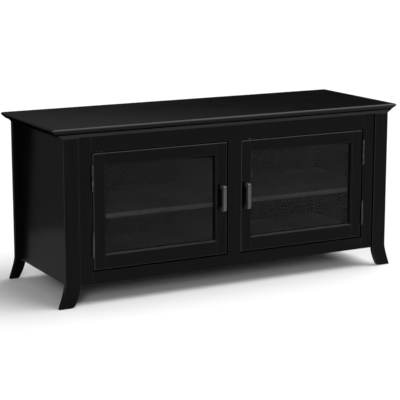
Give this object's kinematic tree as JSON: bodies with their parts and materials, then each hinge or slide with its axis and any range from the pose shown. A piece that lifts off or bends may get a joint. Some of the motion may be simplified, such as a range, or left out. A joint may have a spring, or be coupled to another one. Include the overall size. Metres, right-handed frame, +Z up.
{
  "type": "media cabinet",
  "caption": "Low black media cabinet on outswept feet, with an overhanging bevelled top and hinged glass-panelled doors over shelved bays.",
  "frame": {"origin": "on the floor, under the middle of the overall box, which the door pulls make deeper than the top", "axes": "+X to the cabinet's right as seen from the front, along its width; +Y to the back; +Z up"},
  "size_m": [1.219, 0.442, 0.543],
  "materials": {
    "lacquered_wood": "black stain under satin-gloss lacquer",
    "inner_wood": "black satin",
    "hardboard": "painted matt black",
    "glass": "clear polished",
    "pewter": "brushed, antique pewter",
    "hinge_steel": "satin plated",
    "nickel": "nickel plated",
    "catch_plastic": "moulded dark plastic"
  },
  "bodies": {
    "cabinet": {"top_board": "lacquered_wood", "moulding_front": "lacquered_wood", "moulding_left": "lacquered_wood", "moulding_right": "lacquered_wood", "leg_front_left": "lacquered_wood", "leg_front_right": "lacquered_wood", "leg_rear_left": "lacquered_wood", "leg_rear_right": "lacquered_wood", "side_panel_left": "lacquered_wood", "side_panel_right": "lacquered_wood", "centre_partition": "inner_wood", "frame_top_rail": "lacquered_wood", "frame_bottom_rail": "lacquered_wood", "frame_centre_stile": "lacquered_wood", "frame_stile_left": "lacquered_wood", "frame_stile_right": "lacquered_wood", "bottom_board": "inner_wood", "back_panel": "hardboard", "rear_rail_lower": "inner_wood", "rear_rail_upper": "inner_wood", "shelf_left": "inner_wood", "shelf_right": "inner_wood", "shelf_pin_left_front_inner": "nickel", "shelf_pin_left_front_outer": "nickel", "shelf_pin_left_back_inner": "nickel", "shelf_pin_left_back_outer": "nickel", "shelf_pin_right_front_inner": "nickel", "shelf_pin_right_front_outer": "nickel", "shelf_pin_right_back_inner": "nickel", "shelf_pin_right_back_outer": "nickel", "magnetic_catch_left": "catch_plastic", "magnetic_catch_right": "catch_plastic", "hinge_left_top_frame_leaf": "hinge_steel", "hinge_left_top_pin": "hinge_steel", "hinge_left_bottom_frame_leaf": "hinge_steel", "hinge_left_bottom_pin": "hinge_steel", "hinge_right_top_frame_leaf": "hinge_steel", "hinge_right_top_pin": "hinge_steel", "hinge_right_bottom_frame_leaf": "hinge_steel", "hinge_right_bottom_pin": "hinge_steel"},
    "door_left": {"door_left_hinge_stile": "lacquered_wood", "door_left_latch_stile": "lacquered_wood", "door_left_top_rail": "lacquered_wood", "door_left_bottom_rail": "lacquered_wood", "door_left_glass": "glass", "door_left_glazing_bead": "lacquered_wood", "door_left_pull": "pewter", "door_left_strike_plate": "nickel", "hinge_left_top_door_leaf": "hinge_steel", "hinge_left_bottom_door_leaf": "hinge_steel"},
    "door_right": {"door_right_hinge_stile": "lacquered_wood", "door_right_latch_stile": "lacquered_wood", "door_right_top_rail": "lacquered_wood", "door_right_bottom_rail": "lacquered_wood", "door_right_glass": "glass", "door_right_glazing_bead": "lacquered_wood", "door_right_pull": "pewter", "door_right_strike_plate": "nickel", "hinge_right_top_door_leaf": "hinge_steel", "hinge_right_bottom_door_leaf": "hinge_steel"}
  },
  "joints": [
    {"name": "door_left_swing", "type": "hinge", "parent": "cabinet", "child": "door_left", "pos_m": [-0.4843, -0.2026, 0.28725], "axis": [0, 0, -1], "range_deg": [0, 170]},
    {"name": "door_right_swing", "type": "hinge", "parent": "cabinet", "child": "door_right", "pos_m": [0.4843, -0.2026, 0.28725], "axis": [0, 0, 1], "range_deg": [0, 170]}
  ]
}
